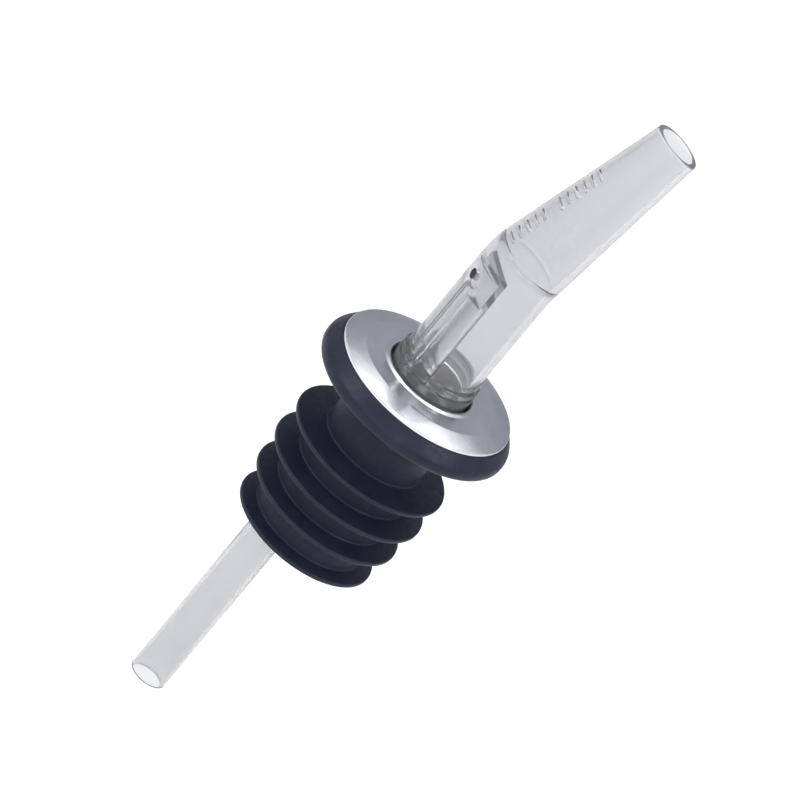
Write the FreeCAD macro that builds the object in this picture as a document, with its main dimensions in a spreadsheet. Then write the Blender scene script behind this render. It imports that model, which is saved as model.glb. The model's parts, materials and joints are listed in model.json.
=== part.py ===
import FreeCAD, Part
import math
import os
import Sketcher

# A free-flow pour spout for a spirits bottle, in millimetres.
#
# Four pieces: a rubber stopper with sealing fins, a pressed metal collar seated on
# it, a clear moulded spout that turns in the stopper, and a clear breather tube
# pushed over the spout's air nipple.
#
# Every profile is drawn with height 0 at the lip plane, the underside of the
# stopper's flange. Each piece is then raised by lip_height, which puts the model's
# origin on the stopper's axis at the middle of the top fin's land. +Z points up the
# spout and +X is the way the nozzle leans.

SIZES = {
    # stopper
    "lip_height": 8.9,
    "flange_radius": 14.0,
    "flange_side": 1.6,
    "flange_top_radius": 12.7,
    "flange_top": 3.4,
    "flange_under_fillet": 0.85,
    "flange_side_fillet": 1.4,
    "flange_top_fillet": 0.25,
    "deck_height": 4.0,
    "deck_radius": 9.7,
    "skirt_radius": 11.9,
    "neck_radius": 7.1,
    "neck_fillet": 0.8,
    "core_radius": 8.0,
    "fin_pitch": 4.75,
    "fin_land": 0.6,
    "fin_root": 1.6,
    "mouth_radius": 7.15,
    "step_depth": 13.2,
    "shoulder_height": 1.0,
    "running_gap": 0.05,
    # collar
    "collar_radius": 12.55,
    "collar_sheet": 0.5,
    "collar_bend_radius": 9.825,
    "collar_rim_height": 0.45,
    "collar_hole_radius": 6.1,
    "bead_height": 0.2,
    "bead_radius": 6.6,
    "bead_foot_radius": 7.0,
    "bead_fillet": 0.3,
    "collar_edge_fillet": 0.6,
    # spout
    "tube_radius": 5.3,
    "bore_radius": 4.3,
    "stem_radius": 5.0,
    "hub_radius": 5.8,
    "hub_ring_top": 5.8,
    "hub_groove_radius": 5.5,
    "hub_groove_top": 6.35,
    "hub_groove_slope": 0.2,
    "hub_crown_radius": 5.75,
    "hub_top": 7.3,
    "hub_slope": 0.3,
    "foot_radius": 6.5,
    "foot_tip_radius": 5.6,
    "foot_length": 1.6,
    "foot_land": 0.4,
    "bend_height": 23.8,
    "bend_angle": 13.9,
    "bend_radius": 11.0,
    "nozzle_length": 26.1,
    "tip_radius": 3.4,
    "tip_bore_radius": 2.7,
    # air rib, air way and vent in the spout
    "rib_face": 2.5,
    "rib_radius": 4.6,
    "rib_top": 23.5,
    "pocket_face": 3.0,
    "pocket_low": 18.3,
    "pocket_high": 22.5,
    "air_offset": 3.7,
    "air_radius": 0.9,
    "air_floor": 0.4,
    "air_overlap": 1.0,
    "vent_height": 20.9,
    "vent_radius": 0.7,
    "vent_reach": 6.0,
    "nipple_offset": 4.4,
    "nipple_radius": 2.05,
    "nipple_bore_radius": 1.45,
    "nipple_length": 8.0,
    "nipple_bore_length": 9.1,
    # breather tube
    "breather_radius": 2.6,
    "breather_top": 15.4,
    "breather_end": 52.3,
}

# Radius of each fin's land, from the top fin down.
FIN_RADII = (11.2, 11.2, 10.7, 10.0)

OUT = "parts"

doc = FreeCAD.newDocument("pour_spout")
sheet = doc.addObject("Spreadsheet::Sheet", "Sizes")
for row, (alias, value) in enumerate(SIZES.items(), start=1):
    sheet.set(f"A{row}", alias)
    sheet.set(f"B{row}", str(value))
    sheet.setAlias(f"B{row}", alias)
for index, radius in enumerate(FIN_RADII, start=1):
    row = len(SIZES) + index
    sheet.set(f"A{row}", f"fin{index}_radius")
    sheet.set(f"B{row}", str(radius))
    sheet.setAlias(f"B{row}", f"finradius_{'abcd'[index - 1]}")
doc.recompute()


def sized(text):
    """An expression in which each word that names a size is read from the sheet."""
    words = []
    for word in text.split():
        known = word in SIZES or word.startswith("finradius_")
        words.append(f"Sizes.{word}" if known else word)
    return " ".join(words)


def plane(body, role):
    """One of the body's own origin planes or axes."""
    return next(f for f in body.Origin.OriginFeatures if f.Role == role)


def new_body(name):
    """A body whose lip plane stands lip_height above the model's origin."""
    body = doc.addObject("PartDesign::Body", name)
    body.Label = name
    body.setExpression(".Placement.Base.z", sized("lip_height"))
    return body


def profile(body, name, corners):
    """A closed outline in the XZ plane. Each corner is an X and a height, as expressions.

    The corners start on a plain slope, and the expressions then put them in place.
    """
    sketch = body.newObject("Sketcher::SketchObject", name)
    sketch.AttachmentSupport = [(plane(body, "XZ_Plane"), "")]
    sketch.MapMode = "FlatFace"
    count = len(corners)
    points = [FreeCAD.Vector(10 + i, i, 0) for i in range(count)]
    for i in range(count):
        sketch.addGeometry(Part.LineSegment(points[i], points[(i + 1) % count]), False)
    for i in range(count):
        sketch.addConstraint(Sketcher.Constraint("Coincident", i, 2, (i + 1) % count, 1))
    for i, (radius, height) in enumerate(corners):
        for kind, text, value in (
            ("DistanceX", radius, points[i].x),
            ("DistanceY", height, points[i].y),
        ):
            number = sketch.addConstraint(Sketcher.Constraint(kind, -1, 1, i, 1, value))
            sketch.setExpression(f"Constraints[{number}]", sized(text))
    return sketch


def turned(body, name, corners):
    """A full turn of a half profile about the body's Z axis."""
    sketch = profile(body, name + "_profile", corners)
    revolution = body.newObject("PartDesign::Revolution", name)
    revolution.Profile = sketch
    revolution.ReferenceAxis = (plane(body, "Z_Axis"), [""])
    revolution.Angle = 360
    body.Tip = revolution
    doc.recompute()
    return revolution


def circles(shape, radius, height):
    """Names of the circular edges of that radius round the Z axis at that height."""
    names = []
    for i, edge in enumerate(shape.Edges, start=1):
        curve = edge.Curve
        if not isinstance(curve, Part.Circle):
            continue
        on_axis = abs(curve.Center.x) < 1e-6 and abs(curve.Center.y) < 1e-6
        if on_axis and abs(curve.Radius - radius) < 1e-6 and abs(curve.Center.z - height) < 1e-6:
            names.append(f"Edge{i}")
    return names


def rounded(body, name, size, edges):
    """A fillet of the named size on edges of the body's tip."""
    base = body.Tip
    fillet = body.newObject("PartDesign::Fillet", name)
    fillet.Base = (base, edges)
    fillet.setExpression("Radius", sized(size))
    body.Tip = fillet
    doc.recompute()
    return fillet


def primitive(body, kind, name, sizes, base=("0", "0", "0"), rotation=None, angle=None):
    """A PartDesign primitive with its sizes, place and tilt bound to the sheet."""
    item = body.newObject(f"PartDesign::{kind}", name)
    for prop, text in sizes.items():
        item.setExpression(prop, sized(text))
    if rotation is not None:
        item.Placement = FreeCAD.Placement(FreeCAD.Vector(), rotation)
    for axis, text in zip("xyz", base):
        item.setExpression(f".Placement.Base.{axis}", sized(text))
    if angle is not None:
        item.setExpression(".Placement.Rotation.Angle", sized(angle))
    body.Tip = item
    doc.recompute()
    return item


def segment(body, kind, name, radius, chord, low, high):
    """A pad or pocket of the part of a disc beyond a chord on the -X side."""
    sketch = body.newObject("Sketcher::SketchObject", name + "_section")
    sketch.AttachmentSupport = [(plane(body, "XY_Plane"), "")]
    sketch.MapMode = "FlatFace"
    pocket = kind.endswith("Pocket")
    sketch.setExpression(".AttachmentOffset.Base.z", sized(high if pocket else low))
    half = math.acos(SIZES[chord] / SIZES[radius])
    circle = Part.Circle(FreeCAD.Vector(), FreeCAD.Vector(0, 0, 1), SIZES[radius])
    arc = Part.ArcOfCircle(circle, math.pi - half, math.pi + half)
    sketch.addGeometry(arc, False)
    sketch.addGeometry(Part.LineSegment(arc.StartPoint, arc.EndPoint), False)
    sketch.addConstraint(Sketcher.Constraint("Coincident", 0, 3, -1, 1))
    sketch.addConstraint(Sketcher.Constraint("Coincident", 0, 1, 1, 1))
    sketch.addConstraint(Sketcher.Constraint("Coincident", 0, 2, 1, 2))
    sketch.addConstraint(Sketcher.Constraint("Vertical", 1))
    limit = sketch.addConstraint(Sketcher.Constraint("Radius", 0, SIZES[radius]))
    sketch.setExpression(f"Constraints[{limit}]", sized(radius))
    place = sketch.addConstraint(Sketcher.Constraint("DistanceX", -1, 1, 1, 1, -SIZES[chord]))
    sketch.setExpression(f"Constraints[{place}]", sized(f"- {chord}"))
    item = body.newObject(kind, name)
    item.Profile = sketch
    item.setExpression("Length", sized(f"{high} - ( {low} )"))
    body.Tip = item
    doc.recompute()
    return item


def add_circle(sketch, number, offset, radius):
    """A circle centred on the -X side, with its place and radius read from the sheet."""
    centre = FreeCAD.Vector(-SIZES[offset], 0, 0)
    sketch.addGeometry(Part.Circle(centre, FreeCAD.Vector(0, 0, 1), SIZES[radius]), False)
    for kind, text, value in (("DistanceX", f"- {offset}", centre.x), ("DistanceY", "0", 0)):
        place = sketch.addConstraint(Sketcher.Constraint(kind, -1, 1, number, 3, value))
        sketch.setExpression(f"Constraints[{place}]", sized(text))
    limit = sketch.addConstraint(Sketcher.Constraint("Radius", number, SIZES[radius]))
    sketch.setExpression(f"Constraints[{limit}]", sized(radius))


# Rubber stopper: a mushroom flange that sits on the bottle's lip, a plain neck and
# four thin sealing fins. Its bore holds the spout's stem, and widens at the mouth
# to make room for the breather tube.
def make_stopper():
    body = new_body("rubber_stopper")
    bore = "stem_radius + running_gap"
    corners = [
        (bore, "- step_depth"),
        (bore, "shoulder_height"),
        ("collar_hole_radius + collar_sheet", "shoulder_height"),
        ("collar_hole_radius + collar_sheet", "deck_height"),
        ("deck_radius", "deck_height"),
        ("skirt_radius", "flange_top"),
        ("flange_top_radius", "flange_top"),
        ("flange_radius", "flange_side"),
        ("flange_radius", "0"),
        ("neck_radius", "0"),
        ("neck_radius", "- lip_height + fin_root / 2"),
    ]
    last = len(FIN_RADII) - 1
    for i in range(len(FIN_RADII)):
        land = f"finradius_{'abcd'[i]}"
        middle = f"- lip_height - {i} * fin_pitch"
        if i > 0:
            corners.append(("core_radius", f"{middle} + fin_root / 2"))
        corners.append((land, f"{middle} + fin_land / 2"))
        corners.append((land, f"{middle} - fin_land / 2"))
        if i < last:
            corners.append(("core_radius", f"{middle} - fin_root / 2"))
    end = f"- lip_height - {last} * fin_pitch - fin_land / 2"
    corners.append(("mouth_radius", end))
    corners.append(("mouth_radius", "- step_depth"))
    solid = turned(body, "stopper_moulding", corners)

    flange = SIZES["flange_radius"]
    rounded(body, "flange_under_round", "flange_under_fillet", circles(solid.Shape, flange, 0))
    shape = body.Tip.Shape
    rounded(
        body,
        "flange_side_round",
        "flange_side_fillet",
        circles(shape, flange, SIZES["flange_side"]),
    )
    shape = body.Tip.Shape
    rounded(
        body,
        "flange_top_round",
        "flange_top_fillet",
        circles(shape, SIZES["flange_top_radius"], SIZES["flange_top"]),
    )
    shape = body.Tip.Shape
    rounded(body, "neck_round", "neck_fillet", circles(shape, SIZES["neck_radius"], 0))
    return body


# Collar: a pressed disc with a rolled-down rim, a raised bead round its hole and a
# drawn neck that grips the rubber round the spout's hub.
def make_collar():
    body = new_body("chrome_collar")
    corners = [
        ("collar_hole_radius", "shoulder_height"),
        ("collar_hole_radius", "deck_height + collar_sheet + bead_height"),
        ("bead_radius", "deck_height + collar_sheet + bead_height"),
        ("bead_foot_radius", "deck_height + collar_sheet"),
        ("collar_bend_radius", "deck_height + collar_sheet"),
        ("collar_radius", "flange_top + collar_rim_height"),
        ("collar_radius", "flange_top"),
        ("skirt_radius", "flange_top"),
        ("deck_radius", "deck_height"),
        ("collar_hole_radius + collar_sheet", "deck_height"),
        ("collar_hole_radius + collar_sheet", "shoulder_height"),
    ]
    turned(body, "collar_pressing", corners)
    top = SIZES["deck_height"] + SIZES["collar_sheet"]
    crest = top + SIZES["bead_height"]
    for name, radius in (("bead_inside", "collar_hole_radius"), ("bead_outside", "bead_radius")):
        rounded(body, name, "bead_fillet", circles(body.Tip.Shape, SIZES[radius], crest))
    bend = SIZES["collar_bend_radius"]
    rounded(body, "rim_round", "collar_edge_fillet", circles(body.Tip.Shape, bend, top))
    return body


# Spout: one clear moulding. A stem with a snap foot, a ringed hub, a straight tube,
# a bend and a tapering nozzle. A flat-faced rib fills the back of the bore. An air way
# runs up it from a nipple under the foot into a pocket below the bend, which a vent
# hole opens to the outside.
def make_spout():
    body = new_body("spout")
    corners = [
        ("0", "- step_depth - running_gap - foot_length"),
        ("foot_tip_radius", "- step_depth - running_gap - foot_length"),
        ("foot_radius", "- step_depth - running_gap - foot_land"),
        ("foot_radius", "- step_depth - running_gap"),
        ("stem_radius", "- step_depth - running_gap"),
        ("stem_radius", "shoulder_height + running_gap"),
        ("hub_radius", "shoulder_height + running_gap"),
        ("hub_radius", "hub_ring_top"),
        ("hub_groove_radius", "hub_ring_top + hub_groove_slope"),
        ("hub_groove_radius", "hub_groove_top - hub_groove_slope"),
        ("hub_crown_radius", "hub_groove_top"),
        ("hub_crown_radius", "hub_top - hub_slope"),
        ("tube_radius", "hub_top"),
        ("tube_radius", "bend_height - bend_radius * tan( bend_angle * 0.5 )"),
        ("0", "bend_height - bend_radius * tan( bend_angle * 0.5 )"),
    ]
    turned(body, "stem_hub_and_tube", corners)

    bend_start = "bend_height - bend_radius * tan( bend_angle * 0.5 )"
    bend_end = ("bend_radius * ( 1 - cos( bend_angle ) )", "0",
                f"{bend_start} + bend_radius * sin( bend_angle )")
    cone_length = "nozzle_length - bend_radius * tan( bend_angle * 0.5 )"
    round_the_bend = FreeCAD.Rotation(
        FreeCAD.Vector(-1, 0, 0), FreeCAD.Vector(0, 0, 1), FreeCAD.Vector(0, 1, 0), "ZXY"
    )
    leaning = FreeCAD.Rotation(FreeCAD.Vector(0, 1, 0), SIZES["bend_angle"])
    sector = {"Radius1": "bend_radius", "Angle3": "bend_angle"}
    primitive(
        body, "AdditiveTorus", "bend", {**sector, "Radius2": "tube_radius"},
        ("bend_radius", "0", bend_start), round_the_bend,
    )
    primitive(
        body, "AdditiveCone", "nozzle",
        {"Radius1": "tube_radius", "Radius2": "tip_radius", "Height": cone_length},
        bend_end, leaning, "bend_angle",
    )
    low_end = "- step_depth - running_gap - foot_length"
    primitive(
        body, "SubtractiveCylinder", "bore",
        {"Radius": "bore_radius", "Height": f"{bend_start} - ( {low_end} )"},
        ("0", "0", low_end),
    )
    primitive(
        body, "SubtractiveTorus", "bend_bore", {**sector, "Radius2": "bore_radius"},
        ("bend_radius", "0", bend_start), round_the_bend,
    )
    primitive(
        body, "SubtractiveCone", "nozzle_bore",
        {"Radius1": "bore_radius", "Radius2": "tip_bore_radius", "Height": cone_length},
        bend_end, leaning, "bend_angle",
    )
    segment(body, "PartDesign::Pad", "air_rib", "rib_radius", "rib_face", low_end, "rib_top")
    primitive(
        body, "AdditiveCylinder", "air_nipple",
        {"Radius": "nipple_radius", "Height": "nipple_length + foot_length"},
        ("- nipple_offset", "0", f"{low_end} - nipple_length"),
    )
    primitive(
        body, "SubtractiveCylinder", "air_way",
        {"Radius": "air_radius", "Height": f"pocket_low + air_overlap - air_floor - ( {low_end} )"},
        ("- air_offset", "0", f"{low_end} + air_floor"),
    )
    primitive(
        body, "SubtractiveCylinder", "nipple_bore",
        {"Radius": "nipple_bore_radius", "Height": "nipple_bore_length"},
        ("- nipple_offset", "0", f"{low_end} - nipple_length"),
    )
    segment(
        body, "PartDesign::Pocket", "air_pocket",
        "bore_radius", "pocket_face", "pocket_low", "pocket_high",
    )
    primitive(
        body, "SubtractiveCylinder", "vent",
        {"Radius": "vent_radius", "Height": "vent_reach - pocket_face"},
        ("- vent_reach", "0", "vent_height"), FreeCAD.Rotation(FreeCAD.Vector(0, 1, 0), 90),
    )
    return body


# Breather tube: a straight length of clear tube on the nipple.
def make_breather_tube():
    body = new_body("breather_tube")
    sketch = body.newObject("Sketcher::SketchObject", "tube_section")
    sketch.AttachmentSupport = [(plane(body, "XY_Plane"), "")]
    sketch.MapMode = "FlatFace"
    sketch.setExpression(".AttachmentOffset.Base.z", sized("- breather_end"))
    for number, size in enumerate(("breather_radius", "nipple_radius")):
        add_circle(sketch, number, "nipple_offset", size)
    pad = body.newObject("PartDesign::Pad", "tube_length")
    pad.Profile = sketch
    pad.setExpression("Length", sized("breather_end - breather_top"))
    body.Tip = pad
    doc.recompute()
    return body


bodies = [make_stopper(), make_collar(), make_spout(), make_breather_tube()]
doc.recompute()

for item in doc.Objects:
    wrong = [state for state in item.State if state in ("Invalid", "Error")]
    if wrong:
        raise RuntimeError(f"{item.Name} did not compute: {wrong}")
for body in bodies:
    if body.Shape.isNull() or not body.Shape.isValid() or len(body.Shape.Solids) != 1:
        raise RuntimeError(f"{body.Label} is not one valid solid")

os.makedirs(OUT, exist_ok=True)
for body in bodies:
    body.Shape.exportStep(os.path.join(OUT, body.Label + ".step"))
    box = body.Shape.optimalBoundingBox(False)
    print(
        f"{body.Label}: {body.Shape.Volume:.1f} mm3, "
        f"x {box.XMin:.2f}..{box.XMax:.2f}, z {box.ZMin:.2f}..{box.ZMax:.2f}"
    )
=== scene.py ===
"""Looks for the pour spout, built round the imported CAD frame.

Sizes are in millimetres until a point is placed, and the scene is in metres. Heights
are measured from the lip plane, the underside of the stopper's flange.
"""
import json
import math

import bmesh
import bpy
from mathutils import Matrix, Vector


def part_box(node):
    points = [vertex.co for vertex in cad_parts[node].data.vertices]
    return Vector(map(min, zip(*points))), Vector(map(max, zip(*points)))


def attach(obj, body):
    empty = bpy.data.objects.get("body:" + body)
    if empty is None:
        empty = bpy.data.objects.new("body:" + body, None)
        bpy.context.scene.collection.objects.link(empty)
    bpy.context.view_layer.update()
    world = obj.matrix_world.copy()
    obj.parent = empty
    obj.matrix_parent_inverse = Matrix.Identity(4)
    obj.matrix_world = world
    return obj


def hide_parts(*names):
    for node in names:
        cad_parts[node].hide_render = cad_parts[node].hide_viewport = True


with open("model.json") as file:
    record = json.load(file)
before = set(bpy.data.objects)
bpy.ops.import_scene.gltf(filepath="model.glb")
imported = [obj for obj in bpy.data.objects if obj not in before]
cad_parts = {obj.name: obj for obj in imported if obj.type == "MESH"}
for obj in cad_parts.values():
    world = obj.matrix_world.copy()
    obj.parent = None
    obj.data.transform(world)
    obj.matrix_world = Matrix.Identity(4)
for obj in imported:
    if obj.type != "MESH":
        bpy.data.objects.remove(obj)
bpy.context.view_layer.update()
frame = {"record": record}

MM = 0.001
MOUNTS = {m["name"]: m for m in frame["record"]["mounts"]}
LIP = MOUNTS["lip_seat"]["pos_m"][2] / MM
SPOUT_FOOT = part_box("spout")[0] / MM
BREATHER_LOW, BREATHER_HIGH = (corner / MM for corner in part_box("breather_tube"))

# Stopper: flange and neck
FLANGE_R = 13.99
FLANGE_TOP_Z = 1.6
FLANGE_TOP_FILLET = 1.4
FLANGE_LOW_FILLET = 0.85
FLANGE_CROWN_R = 12.7
FLANGE_CROWN_FILLET = 0.3
NECK_R = 7.1
NECK_FILLET = 0.8

# Stopper: fins, with half the height of a fin at its tip and at its root
FIN_RADII = (11.2, 11.2, 10.7, 10.0)
FIN_PITCH = 4.75
FIN_TIP_HALF = 0.3
FIN_TIP_FILLET = 0.22
FIN_ROOT_HALF = 0.8
FIN_ROOT_FILLET = 0.3
CORE_R = 8.0

# Stopper: stepped bore, and the recess that the collar sits in
MOUTH_R = 7.15
STEP_Z = -13.2
SHOULDER_Z = 1.0
SEAT_R = 6.6
DECK_Z = 4.0
DECK_R = 9.7
SKIRT_Z = 3.4
SKIRT_R = 11.9

# Collar, from its hole to its rim
COLLAR_THICKNESS = 0.5
HOLE_R = 6.1
BEAD_RISE = 0.2
BEAD_R = 6.6
BEAD_FILLET = 0.3
BEAD_FOOT_R = 7.0
BEAD_FOOT_FILLET = 0.5
COLLAR_BEND_R = 9.825
COLLAR_BEND_FILLET = 0.4
COLLAR_R = 12.55
COLLAR_EDGE_Z = 3.85
COLLAR_EDGE_FILLET = 0.25
COLLAR_HEM_FILLET = 0.1

# Spout: stem and snap foot, which clear the stopper's bore by the gap
GAP = 0.05
STEM_R = 5.0
NIPPLE_LENGTH = 8.0
FOOT_Z = SPOUT_FOOT.z - LIP + NIPPLE_LENGTH
FOOT_TOP_Z = STEP_Z - GAP
FOOT_R = 6.5
FOOT_EDGE = 0.4
FOOT_EDGE_FILLET = 0.1
FOOT_LEAD_R = 5.6
FOOT_LEAD_FILLET = 0.2

# Spout: the hub's rings, as radius, height and fillet from its shoulder up to the tube
HUB_R = 5.8
HUB_FILLET = 0.1
HUB_RINGS = (
    (HUB_R, 5.8, 0.12), (5.5, 6.0, 0.12), (5.5, 6.15, 0.12),
    (5.75, 6.35, 0.15), (5.75, 7.0, 0.2),
)

# Spout: tube, bend and nozzle. The bend rounds a corner of the centre line
TUBE_R = 5.3
TUBE_Z = 7.3
TUBE_FILLET = 0.3
BORE_R = 4.3
CORNER_Z = 23.8
CORNER_TO_TIP = 26.1
BEND_ANGLE = math.radians(13.9)
BEND_RADIUS = 11.0
BEND_HALF = BEND_RADIUS * math.tan(BEND_ANGLE / 2)
BEND_Z = CORNER_Z - BEND_HALF
BEND_ARC = BEND_RADIUS * BEND_ANGLE
NOZZLE_Z = BEND_Z + BEND_ARC
NOZZLE = CORNER_TO_TIP - BEND_HALF
NOZZLE_BLEND = 6
TIP_Z = NOZZLE_Z + NOZZLE
TIP_R = 3.4
TIP_FILLET = 0.2
TIP_BORE_R = 2.7
TIP_BORE_FILLET = 0.15

# Spout: the small ridge in the bore where the nozzle starts
RIDGE_OFFSET = 0.25
RIDGE_Z = NOZZLE_Z + RIDGE_OFFSET
RIDGE_RISE = 0.15
RIDGE_HALF = 0.3
RIDGE_FILLET = 0.3

# Spout: air rib, pocket and vent, all on the -X side. A face is a flat's distance from the
# axis. The air way starts a little over the foot and runs a little into the pocket, and the
# vent's cut stops a little short of the pocket's face
RIB_FACE = 2.5
RIB_R = 4.6
RIB_TOP_Z = 23.5
RIB_FILLET = 0.5
POCKET_FACE = 3.0
POCKET_LOW_Z = 18.3
POCKET_HIGH_Z = 22.5
POCKET_FILLET = 0.45
AIR_X = -3.7
AIR_R = 0.9
AIR_FLOOR = 0.4
AIR_OVERLAP = 1
VENT_Z = 20.9
VENT_R = 0.7
VENT_START_X = -6.0
VENT_MARGIN = 0.1
VENT_END_X = -POCKET_FACE - VENT_MARGIN

# Spout: nipple, which is rooted in the foot, and the breather tube pushed over it. The
# nipple's bore is cut from a little below its end
NIPPLE_R = 2.05
NIPPLE_FILLET = 0.3
NIPPLE_ROOT = 1.6
NIPPLE_BORE_R = 1.45
NIPPLE_BORE_LENGTH = 9.1
NIPPLE_CUT_MARGIN = 1
BREATHER_X = (BREATHER_LOW.x + BREATHER_HIGH.x) / 2
BREATHER_R = (BREATHER_HIGH.x - BREATHER_LOW.x) / 2
BREATHER_INNER_FILLET = 0.1
BREATHER_OUTER_FILLET = 0.12

# Plain raised bars along the back of the nozzle
BAR_START = 1.6
BAR_PITCH = 1.25
BAR_GROUPS = (0, 1, 2, 3, 4, 6, 7, 8, 9, 10, 11)
BAR_HALF_WIDTH = 0.2
BAR_HALF_LENGTH = 1.15
BAR_RISE = 0.16
BAR_EDGE = 0.16

# Mesh fineness: steps round a turn, spacing along an outline, and where edges stay sharp
TURN_STEPS = 160
BREATHER_STEPS = 96
ROD_STEPS = 64
VENT_STEPS = 48
TUBE_SPACING = 0.5
BAR_SPACING = 0.1
SHARP_DEGREES = 50
SPOUT_SHARP_DEGREES = 35

# A smaller radius than this counts as on the axis, and a point this near to the nozzle's
# outer radius counts as on its outer wall
ON_AXIS = 1e-6
WALL_MARGIN = 0.05


# ---------------------------------------------------------------- mesh helpers

def rounded_outline(corners, arc_steps=6):
    """Points round a closed outline. A corner is (radius, height) or (radius, height, fillet)."""
    points = []
    count = len(corners)
    for i, corner in enumerate(corners):
        here = Vector(corner[:2])
        fillet = corner[2] if len(corner) > 2 else 0
        if not fillet:
            points.append(here)
            continue
        before = (Vector(corners[i - 1][:2]) - here).normalized()
        after = (Vector(corners[(i + 1) % count][:2]) - here).normalized()
        half = before.angle(after) / 2
        reach = fillet / math.tan(half)
        centre = here + (before + after).normalized() * (fillet / math.sin(half))
        start = here + before * reach - centre
        end = here + after * reach - centre
        sweep = start.angle_signed(end)
        for step in range(arc_steps + 1):
            turn = -sweep * step / arc_steps
            points.append(centre + Matrix.Rotation(turn, 2) @ start)
    return points


def with_stations(points, spacing, low, high):
    """Adds points on the runs of an outline that lie between two heights."""
    dense = []
    count = len(points)
    for i, here in enumerate(points):
        there = points[(i + 1) % count]
        steps = max(int((there - here).length / spacing), 1)
        for step in range(steps):
            point = here.lerp(there, step / steps)
            if step == 0 or low < point.y < high:
                dense.append(point)
    return dense


def straight(radius, height, turn):
    """A point of a piece turned about the part's Z axis."""
    return Vector((radius * math.cos(turn), radius * math.sin(turn), height + LIP)) * MM


def bent(radius, along, turn):
    """A point of the spout. Above the bend's start, height is measured along its centre line."""
    over = along - BEND_Z
    angle = min(max(over / BEND_RADIUS, 0), BEND_ANGLE)
    centre = Vector((BEND_RADIUS * (1 - math.cos(angle)), 0, BEND_Z + BEND_RADIUS * math.sin(angle)))
    if over < 0:
        centre = Vector((0, 0, along))
    elif over > BEND_ARC:
        centre += Vector((math.sin(angle), 0, math.cos(angle))) * (over - BEND_ARC)
    across = Vector((math.cos(angle), 0, -math.sin(angle)))
    side = Vector((0, 1, 0))
    point = centre + (across * math.cos(turn) + side * math.sin(turn)) * radius
    return (point + Vector((0, 0, LIP))) * MM


def nozzle_radius(along):
    """Radius of the nozzle's outer wall at a distance along the centre line."""
    share = min(max((along - NOZZLE_Z) / NOZZLE, 0), 1)
    return TUBE_R + (TIP_R - TUBE_R) * share


def eased(distance, half):
    """1 on a bar, falling smoothly to 0 over a short edge."""
    share = min(max((half + BAR_EDGE / 2 - abs(distance)) / BAR_EDGE, 0), 1)
    return share * share * (3 - 2 * share)


def bar_lift(along, turn):
    """Height of the raised bars over the nozzle's back."""
    number = round((along - NOZZLE_Z - BAR_START) / BAR_PITCH)
    if number not in BAR_GROUPS:
        return 0
    off = along - NOZZLE_Z - BAR_START - number * BAR_PITCH
    across = (turn - math.pi) * nozzle_radius(along)
    return BAR_RISE * eased(off, BAR_HALF_WIDTH) * eased(across, BAR_HALF_LENGTH)


def spout_skin(radius, along, turn):
    """A point of the spout, with the bars raised on its outer wall."""
    outer = radius > nozzle_radius(along) - WALL_MARGIN
    lift = bar_lift(along, turn) if outer and along > NOZZLE_Z else 0
    return bent(radius + lift, along, turn)


def vent_wall(radius, x, turn):
    """A point of the vent, whose axis runs along X."""
    height = VENT_Z + LIP + radius * math.sin(turn)
    return Vector((x, radius * math.cos(turn), height)) * MM


def finished_piece(name, bm):
    """The bmesh as an object whose faces all look outward."""
    bmesh.ops.recalc_face_normals(bm, faces=bm.faces)
    mesh = bpy.data.meshes.new(name)
    bm.to_mesh(mesh)
    bm.free()
    piece = bpy.data.objects.new(name, mesh)
    bpy.context.scene.collection.objects.link(piece)
    return piece


def turned(name, outline, place=straight, steps=TURN_STEPS):
    """A closed outline carried once round. Points on the axis are shared by the whole turn."""
    bm = bmesh.new()
    rings = []
    for radius, height in outline:
        if radius < ON_AXIS:
            rings.append([bm.verts.new(place(0, height, 0))])
        else:
            turns = (math.tau * k / steps for k in range(steps))
            rings.append([bm.verts.new(place(radius, height, turn)) for turn in turns])
    for i, ring in enumerate(rings):
        other = rings[(i + 1) % len(rings)]
        if len(ring) == 1 and len(other) == 1:
            continue
        for k in range(steps):
            nxt = (k + 1) % steps
            corners = [
                ring[k % len(ring)], ring[nxt % len(ring)],
                other[nxt % len(other)], other[k % len(other)],
            ]
            bm.faces.new(list(dict.fromkeys(corners)))
    return finished_piece(name, bm)


def rod(name, x, outline, steps=ROD_STEPS):
    """A turned piece whose axis stands at the given X."""
    def place(radius, height, turn):
        return straight(radius, height, turn) + Vector((x * MM, 0, 0))
    return turned(name, outline, place, steps)


def segment(name, radius, face, low, high, fillet, steps=24):
    """The part of a disc beyond a chord on the -X side, carried up Z, with rounded edges."""
    half = math.acos(face / radius)
    turns = [math.pi - half + 2 * half * k / steps for k in range(steps + 1)]
    bm = bmesh.new()
    under = [bm.verts.new(straight(radius, low, turn)) for turn in turns]
    over = [bm.verts.new(straight(radius, high, turn)) for turn in turns]
    bm.faces.new(under)
    bm.faces.new(over)
    for i in range(len(turns)):
        j = (i + 1) % len(turns)
        bm.faces.new([under[i], under[j], over[j], over[i]])
    piece = finished_piece(name, bm)
    bevel = piece.modifiers.new("rounding", "BEVEL")
    bevel.width = fillet * MM
    bevel.segments = 4
    bevel.limit_method = "ANGLE"
    return apply_modifiers(piece)


def combine(piece, tool, operation):
    """Unites a piece with a tool or cuts it, and removes the tool."""
    change = piece.modifiers.new(operation, "BOOLEAN")
    change.operation = operation
    change.solver = "EXACT"
    change.object = tool
    apply_modifiers(piece)
    bpy.data.objects.remove(tool)


def apply_modifiers(piece):
    """Puts the result of the piece's modifiers into its own mesh."""
    depsgraph = bpy.context.evaluated_depsgraph_get()
    result = bpy.data.meshes.new_from_object(piece.evaluated_get(depsgraph))
    piece.modifiers.clear()
    old = piece.data
    piece.data = result
    bpy.data.meshes.remove(old)
    return piece


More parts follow.
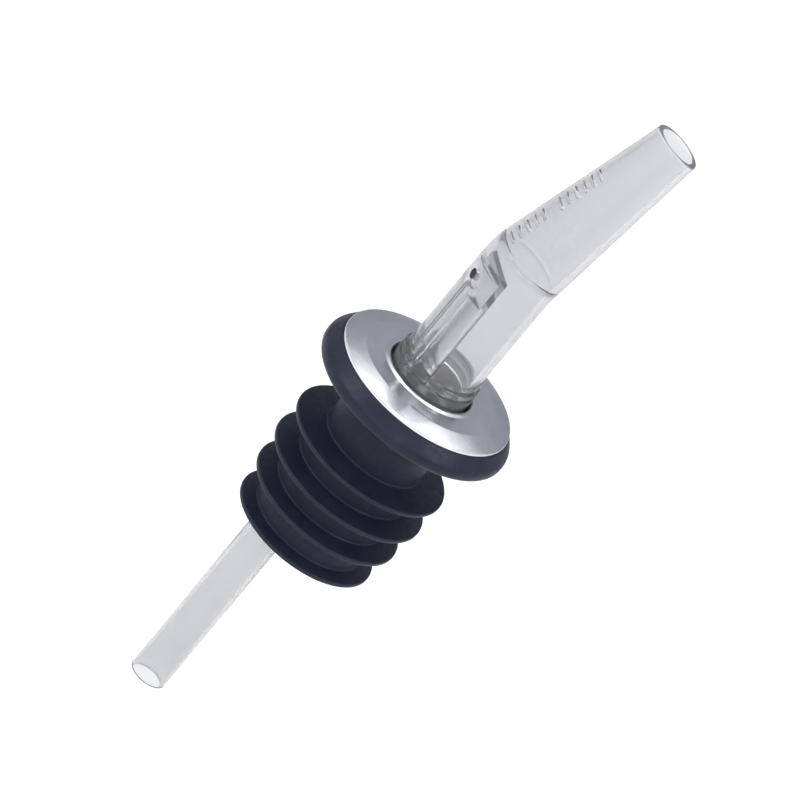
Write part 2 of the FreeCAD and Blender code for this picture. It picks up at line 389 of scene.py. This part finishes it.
def smooth(piece, sharp_degrees=SHARP_DEGREES):
    """Smooth shading, with edges sharper than the angle kept."""
    for polygon in piece.data.polygons:
        polygon.use_smooth = True
    piece.data.set_sharp_from_angle(angle=math.radians(sharp_degrees))
    return piece


# ---------------------------------------------------------------- materials

CLEAR_IOR = 1.49
CLEAR_TRANSMISSION = 0.93
CLEAR_DENSITY = 140

# The matte of the tip's end face, with the depths below it where it starts and is full
TIP_ROUGHNESS = 0.6
TIP_MATTE_START = 0.25
TIP_MATTE_FULL = 0.05

# The values that most of a noise lies between
NOISE_LOW = 0.3
NOISE_HIGH = 0.7


def new_material(name):
    material = bpy.data.materials.new(name)
    material.use_nodes = True
    tree = material.node_tree
    return material, tree, tree.nodes["Principled BSDF"]


def noise(tree, scale, detail=4, roughness=0.5, stretch=(1, 1, 1)):
    """Noise in the piece's own coordinates."""
    coords = tree.nodes.new("ShaderNodeTexCoord")
    mapping = tree.nodes.new("ShaderNodeMapping")
    mapping.inputs["Scale"].default_value = stretch
    texture = tree.nodes.new("ShaderNodeTexNoise")
    texture.inputs["Scale"].default_value = scale
    texture.inputs["Detail"].default_value = detail
    texture.inputs["Roughness"].default_value = roughness
    tree.links.new(coords.outputs["Object"], mapping.inputs["Vector"])
    tree.links.new(mapping.outputs["Vector"], texture.inputs["Vector"])
    return texture.outputs["Fac"]


def spread(tree, value, low, high):
    """Maps the middle of a noise to low..high."""
    ramp = tree.nodes.new("ShaderNodeMapRange")
    ramp.inputs["From Min"].default_value = NOISE_LOW
    ramp.inputs["From Max"].default_value = NOISE_HIGH
    ramp.inputs["To Min"].default_value = low
    ramp.inputs["To Max"].default_value = high
    tree.links.new(value, ramp.inputs["Value"])
    return ramp.outputs["Result"]


def blend(tree, value, low, high):
    """A colour between two others."""
    mix = tree.nodes.new("ShaderNodeMix")
    mix.data_type = "RGBA"
    mix.inputs["A"].default_value = (*low, 1)
    mix.inputs["B"].default_value = (*high, 1)
    tree.links.new(spread(tree, value, 0, 1), mix.inputs["Factor"])
    return mix.outputs["Result"]


def bump(tree, shader, height, strength, distance):
    node = tree.nodes.new("ShaderNodeBump")
    node.inputs["Strength"].default_value = strength
    node.inputs["Distance"].default_value = distance
    tree.links.new(height, node.inputs["Height"])
    tree.links.new(node.outputs["Normal"], shader.inputs["Normal"])


def with_matte_tip(tree, rough):
    """A roughness that rises to matte on the end face of the nozzle."""
    axis = Vector((math.sin(BEND_ANGLE), 0, math.cos(BEND_ANGLE)))
    tip = bent(0, TIP_Z, 0).dot(axis)
    coords = tree.nodes.new("ShaderNodeTexCoord")
    along = tree.nodes.new("ShaderNodeVectorMath")
    along.operation = "DOT_PRODUCT"
    along.inputs[1].default_value = axis
    ramp = tree.nodes.new("ShaderNodeMapRange")
    ramp.inputs["From Min"].default_value = tip - TIP_MATTE_START * MM
    ramp.inputs["From Max"].default_value = tip - TIP_MATTE_FULL * MM
    ramp.inputs["To Max"].default_value = TIP_ROUGHNESS
    larger = tree.nodes.new("ShaderNodeMath")
    larger.operation = "MAXIMUM"
    tree.links.new(coords.outputs["Object"], along.inputs[0])
    tree.links.new(along.outputs["Value"], ramp.inputs["Value"])
    tree.links.new(rough, larger.inputs[0])
    tree.links.new(ramp.outputs["Result"], larger.inputs[1])
    return larger.outputs["Value"]


def clear_material(name, thin, thick, rough, waviness, depth_colour, matte_tip=False):
    """Clear moulded plastic with faint smoky streaks, which darkens with its thickness."""
    material, tree, shader = new_material(name)
    streaks = noise(tree, scale=220, detail=3, stretch=(1, 1, 0.12))
    tree.links.new(blend(tree, streaks, thin, thick), shader.inputs["Base Color"])
    shader.inputs["Transmission Weight"].default_value = CLEAR_TRANSMISSION
    shader.inputs["IOR"].default_value = CLEAR_IOR
    polish = spread(tree, noise(tree, scale=900, detail=3), *rough)
    if matte_tip:
        polish = with_matte_tip(tree, polish)
    tree.links.new(polish, shader.inputs["Roughness"])
    bump(tree, shader, noise(tree, scale=260, detail=2), strength=waviness, distance=0.0002)
    absorption = tree.nodes.new("ShaderNodeVolumeAbsorption")
    absorption.inputs["Color"].default_value = (*depth_colour, 1)
    absorption.inputs["Density"].default_value = CLEAR_DENSITY
    output = tree.nodes["Material Output"]
    tree.links.new(absorption.outputs["Volume"], output.inputs["Volume"])
    return material


def chrome_material():
    """Polished plating with fine random haze."""
    material, tree, shader = new_material("polished_chrome")
    shader.inputs["Metallic"].default_value = 1
    haze = noise(tree, scale=350, detail=5, roughness=0.6)
    tone = blend(tree, haze, low=(0.68, 0.695, 0.735), high=(0.76, 0.775, 0.815))
    tree.links.new(tone, shader.inputs["Base Color"])
    grain = noise(tree, scale=1400, detail=6, roughness=0.7)
    tree.links.new(spread(tree, grain, low=0.21, high=0.27), shader.inputs["Roughness"])
    ripple = noise(tree, scale=700, detail=5, roughness=0.6)
    bump(tree, shader, ripple, strength=0.035, distance=0.0001)
    return material


def rubber_material():
    """Moulded black rubber with a blue cast, slight blotches and fine grain."""
    material, tree, shader = new_material("black_rubber")
    blotches = noise(tree, scale=400, detail=5, roughness=0.6)
    tone = blend(tree, blotches, low=(0.0075, 0.0102, 0.0215), high=(0.0135, 0.0172, 0.034))
    tree.links.new(tone, shader.inputs["Base Color"])
    shader.inputs["Specular IOR Level"].default_value = 0.2
    sheen_spots = noise(tree, scale=1200)
    tree.links.new(spread(tree, sheen_spots, low=0.40, high=0.55), shader.inputs["Roughness"])
    grain = noise(tree, scale=3500, roughness=0.6)
    bump(tree, shader, grain, strength=0.2, distance=0.00006)
    return material


# ---------------------------------------------------------------- pieces

def make_stopper():
    """Rubber stopper with rounded fin crests and a rolled flange."""
    corners = [
        (STEM_R + GAP, STEP_Z), (STEM_R + GAP, SHOULDER_Z), (SEAT_R, SHOULDER_Z),
        (SEAT_R, DECK_Z), (DECK_R, DECK_Z), (SKIRT_R, SKIRT_Z),
        (FLANGE_CROWN_R, SKIRT_Z, FLANGE_CROWN_FILLET),
        (FLANGE_R, FLANGE_TOP_Z, FLANGE_TOP_FILLET), (FLANGE_R, 0, FLANGE_LOW_FILLET),
        (NECK_R, 0, NECK_FILLET),
    ]
    last = len(FIN_RADII) - 1
    for i, tip_radius in enumerate(FIN_RADII):
        middle = -LIP - FIN_PITCH * i
        corners.append((CORE_R if i else NECK_R, middle + FIN_ROOT_HALF, FIN_ROOT_FILLET))
        corners.append((tip_radius, middle + FIN_TIP_HALF, FIN_TIP_FILLET))
        corners.append((tip_radius, middle - FIN_TIP_HALF, FIN_TIP_FILLET))
        if i < last:
            corners.append((CORE_R, middle - FIN_ROOT_HALF, FIN_ROOT_FILLET))
    bottom = -LIP - FIN_PITCH * last - FIN_TIP_HALF
    corners += [(MOUTH_R, bottom), (MOUTH_R, STEP_Z)]
    return smooth(turned("stopper_moulding", rounded_outline(corners)))


def make_collar():
    """Pressed chrome disc with a bead round its hole and a rolled-down rim."""
    top = DECK_Z + COLLAR_THICKNESS
    crest = top + BEAD_RISE
    corners = [
        (HOLE_R, SHOULDER_Z), (HOLE_R, crest, BEAD_FILLET), (BEAD_R, crest, BEAD_FILLET),
        (BEAD_FOOT_R, top, BEAD_FOOT_FILLET), (COLLAR_BEND_R, top, COLLAR_BEND_FILLET),
        (COLLAR_R, COLLAR_EDGE_Z, COLLAR_EDGE_FILLET), (COLLAR_R, SKIRT_Z, COLLAR_HEM_FILLET),
        (SKIRT_R, SKIRT_Z), (DECK_R, DECK_Z), (SEAT_R, DECK_Z), (SEAT_R, SHOULDER_Z),
    ]
    return smooth(turned("collar_pressing", rounded_outline(corners)))


def spout_shell():
    """The spout's turned wall, from the snap foot to the nozzle's tip."""
    corners = [
        (BORE_R, FOOT_Z, FOOT_LEAD_FILLET), (FOOT_LEAD_R, FOOT_Z, FOOT_LEAD_FILLET),
        (FOOT_R, FOOT_TOP_Z - FOOT_EDGE, FOOT_EDGE_FILLET), (FOOT_R, FOOT_TOP_Z),
        (STEM_R, FOOT_TOP_Z), (STEM_R, SHOULDER_Z + GAP), (HUB_R, SHOULDER_Z + GAP, HUB_FILLET),
        *HUB_RINGS, (TUBE_R, TUBE_Z, TUBE_FILLET), (TUBE_R, NOZZLE_Z, NOZZLE_BLEND),
        (TIP_R, TIP_Z, TIP_FILLET), (TIP_BORE_R, TIP_Z, TIP_BORE_FILLET),
        (BORE_R, RIDGE_Z + RIDGE_HALF), (BORE_R - RIDGE_RISE, RIDGE_Z, RIDGE_FILLET),
        (BORE_R, RIDGE_Z - RIDGE_HALF),
    ]
    outline = with_stations(rounded_outline(corners), TUBE_SPACING, TUBE_Z, TIP_Z)
    bars_end = NOZZLE_Z + BAR_START + BAR_PITCH * (BAR_GROUPS[-1] + 1)
    outline = with_stations(outline, BAR_SPACING, NOZZLE_Z, bars_end)
    return turned("spout_moulding", outline, spout_skin)


def plug(low, high, radius, fillet=0):
    """Outline of a round plug. The fillet is on the edge at its low end."""
    return rounded_outline([(0, low), (radius, low, fillet), (radius, high), (0, high)])


def make_spout():
    """Clear moulding: stem, hub, tube, bend and nozzle, with the air rib inside."""
    piece = spout_shell()
    rib = segment("rib", RIB_R, RIB_FACE, FOOT_Z, RIB_TOP_Z, RIB_FILLET)
    combine(piece, rib, "UNION")
    end = FOOT_Z - NIPPLE_LENGTH
    nipple = plug(end, FOOT_Z + NIPPLE_ROOT, NIPPLE_R, NIPPLE_FILLET)
    combine(piece, rod("nipple", BREATHER_X, nipple), "UNION")

    air = plug(FOOT_Z + AIR_FLOOR, POCKET_LOW_Z + AIR_OVERLAP, AIR_R)
    combine(piece, rod("air_way", AIR_X, air), "DIFFERENCE")
    hole = plug(end - NIPPLE_CUT_MARGIN, end + NIPPLE_BORE_LENGTH, NIPPLE_BORE_R)
    combine(piece, rod("nipple_bore", BREATHER_X, hole), "DIFFERENCE")
    pocket = segment("pocket", BORE_R, POCKET_FACE, POCKET_LOW_Z, POCKET_HIGH_Z, POCKET_FILLET)
    combine(piece, pocket, "DIFFERENCE")
    vent = plug(VENT_START_X, VENT_END_X, VENT_R)
    combine(piece, turned("vent", vent, vent_wall, VENT_STEPS), "DIFFERENCE")
    return smooth(piece, SPOUT_SHARP_DEGREES)


def make_breather():
    """Clear tube with softly broken ends."""
    low = BREATHER_LOW.z - LIP
    high = BREATHER_HIGH.z - LIP
    corners = [
        (NIPPLE_R, low, BREATHER_INNER_FILLET), (BREATHER_R, low, BREATHER_OUTER_FILLET),
        (BREATHER_R, high, BREATHER_OUTER_FILLET), (NIPPLE_R, high, BREATHER_INNER_FILLET),
    ]
    return smooth(rod("breather_length", BREATHER_X, rounded_outline(corners), BREATHER_STEPS))


# ---------------------------------------------------------------- stage

# Lengths are in metres, and the camera's sensor in millimetres, as Blender has it
VIEW_TURN = math.radians(35)
VIEW_RISE = math.radians(27)
VIEW_ROLL = math.radians(39.75)
VIEW_DISTANCE = 1.5
VIEW_WIDTH = 0.100
AIM_ACROSS = -1.244 * MM
AIM_UP = -0.63 * MM
SENSOR_WIDTH = 36

RIGHT = Vector((math.cos(VIEW_TURN), -math.sin(VIEW_TURN), 0))
AWAY = Vector((math.sin(VIEW_TURN), math.cos(VIEW_TURN), 0))
HIGH = Vector((0, 0, 1))
MIDDLE = HIGH * LIP * MM

FLOOR_SIZE = 30
FLOOR_Z = -0.30
CARD_RISE = math.radians(20)
CARD_DISTANCE = 1.4
CARD_WIDTH = 3.2
CARD_HEIGHT = 1.25
PAPER_SPECULAR = 0.1

# Each light's name, place from the middle of the object, size and power in watts
LIGHTS = (
    ("overhead", HIGH * 1.2 + AWAY * 0.3, 0.8, 9),
    ("front", HIGH * 0.6 - AWAY * 1.3, 0.5, 4),
    ("left", HIGH * 0.8 - RIGHT * 1.0 - AWAY * 0.5, 0.4, 6),
    ("right", HIGH * 0.8 + RIGHT * 1.0 - AWAY * 0.5, 0.4, 6),
)
SKY_COLOUR = (0.985, 0.99, 1.0, 1)
SKY_STRENGTH = 0.85


def paper_material(name, colour, roughness):
    """Plain matte paper or card."""
    material, _, shader = new_material(name)
    shader.inputs["Base Color"].default_value = (*colour, 1)
    shader.inputs["Roughness"].default_value = roughness
    shader.inputs["Specular IOR Level"].default_value = PAPER_SPECULAR
    return material


def make_floor():
    bpy.ops.mesh.primitive_plane_add(size=FLOOR_SIZE, location=(0, 0, FLOOR_Z))
    floor = bpy.context.object
    floor.name = "floor"
    paper = paper_material("floor_paper", colour=(0.97, 0.97, 0.97), roughness=0.9)
    floor.data.materials.append(paper)


def make_card():
    """A grey card behind the object, hidden from the camera, which the collar reflects."""
    offset = (AWAY * math.cos(CARD_RISE) + HIGH * math.sin(CARD_RISE)) * CARD_DISTANCE
    bpy.ops.mesh.primitive_plane_add(size=1, location=MIDDLE + offset)
    card = bpy.context.object
    card.name = "grey_card"
    card.scale = (CARD_WIDTH, CARD_HEIGHT, 1)
    card.rotation_euler = (-offset).to_track_quat("Z", "Y").to_euler()
    grey = paper_material("card_grey", colour=(0.245, 0.255, 0.286), roughness=0.95)
    card.data.materials.append(grey)
    card.visible_camera = False


def make_camera():
    up = AWAY * math.sin(VIEW_RISE) + HIGH * math.cos(VIEW_RISE)
    back = HIGH * math.sin(VIEW_RISE) - AWAY * math.cos(VIEW_RISE)
    data = bpy.data.cameras.new("camera")
    data.sensor_width = SENSOR_WIDTH
    data.lens = SENSOR_WIDTH * VIEW_DISTANCE / VIEW_WIDTH
    data.clip_start = 0.01
    data.clip_end = 100
    camera = bpy.data.objects.new("camera", data)
    bpy.context.scene.collection.objects.link(camera)
    across = RIGHT * math.cos(VIEW_ROLL) + up * math.sin(VIEW_ROLL)
    upward = up * math.cos(VIEW_ROLL) - RIGHT * math.sin(VIEW_ROLL)
    place = Matrix((across, upward, back)).transposed().to_4x4()
    place.translation = MIDDLE + RIGHT * AIM_ACROSS + up * AIM_UP + back * VIEW_DISTANCE
    camera.matrix_world = place
    bpy.context.scene.camera = camera


def area_light(name, offset, size, power):
    data = bpy.data.lights.new(name, "AREA")
    data.shape = "SQUARE"
    data.size = size
    data.energy = power
    light = bpy.data.objects.new(name, data)
    light.location = MIDDLE + offset
    light.rotation_euler = (-offset).to_track_quat("-Z", "Y").to_euler()
    bpy.context.scene.collection.objects.link(light)


def make_world():
    world = bpy.data.worlds.new("studio")
    world.use_nodes = True
    background = world.node_tree.nodes["Background"]
    background.inputs["Color"].default_value = SKY_COLOUR
    background.inputs["Strength"].default_value = SKY_STRENGTH
    bpy.context.scene.world = world


# ---------------------------------------------------------------- assembly

rubber = rubber_material()
chrome = chrome_material()
clear = clear_material(
    "clear_plastic", thin=(0.865, 0.868, 0.877), thick=(0.84, 0.843, 0.852),
    rough=(0.03, 0.08), waviness=0.08, depth_colour=(0.0, 0.01, 0.11), matte_tip=True,
)
clear_tube = clear_material(
    "clear_tube", thin=(0.795, 0.797, 0.803), thick=(0.765, 0.767, 0.773),
    rough=(0.10, 0.18), waviness=0.12, depth_colour=(0.0, 0.01, 0.08),
)

PIECES = (
    (make_stopper(), "rubber_stopper", "stopper", "black_rubber", rubber),
    (make_collar(), "chrome_collar", "stopper", "polished_chrome", chrome),
    (make_spout(), "spout", "spout", "clear_plastic", clear),
    (make_breather(), "breather_tube", "spout", "clear_tube", clear_tube),
)
for piece, node, body, slot, material in PIECES:
    piece.data.materials.clear()
    piece.data.materials.append(material)
    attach(piece, body)
    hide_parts(node)

make_floor()
make_card()
for light in LIGHTS:
    area_light(*light)
make_world()
make_camera()
bpy.context.scene.view_settings.view_transform = "Standard"
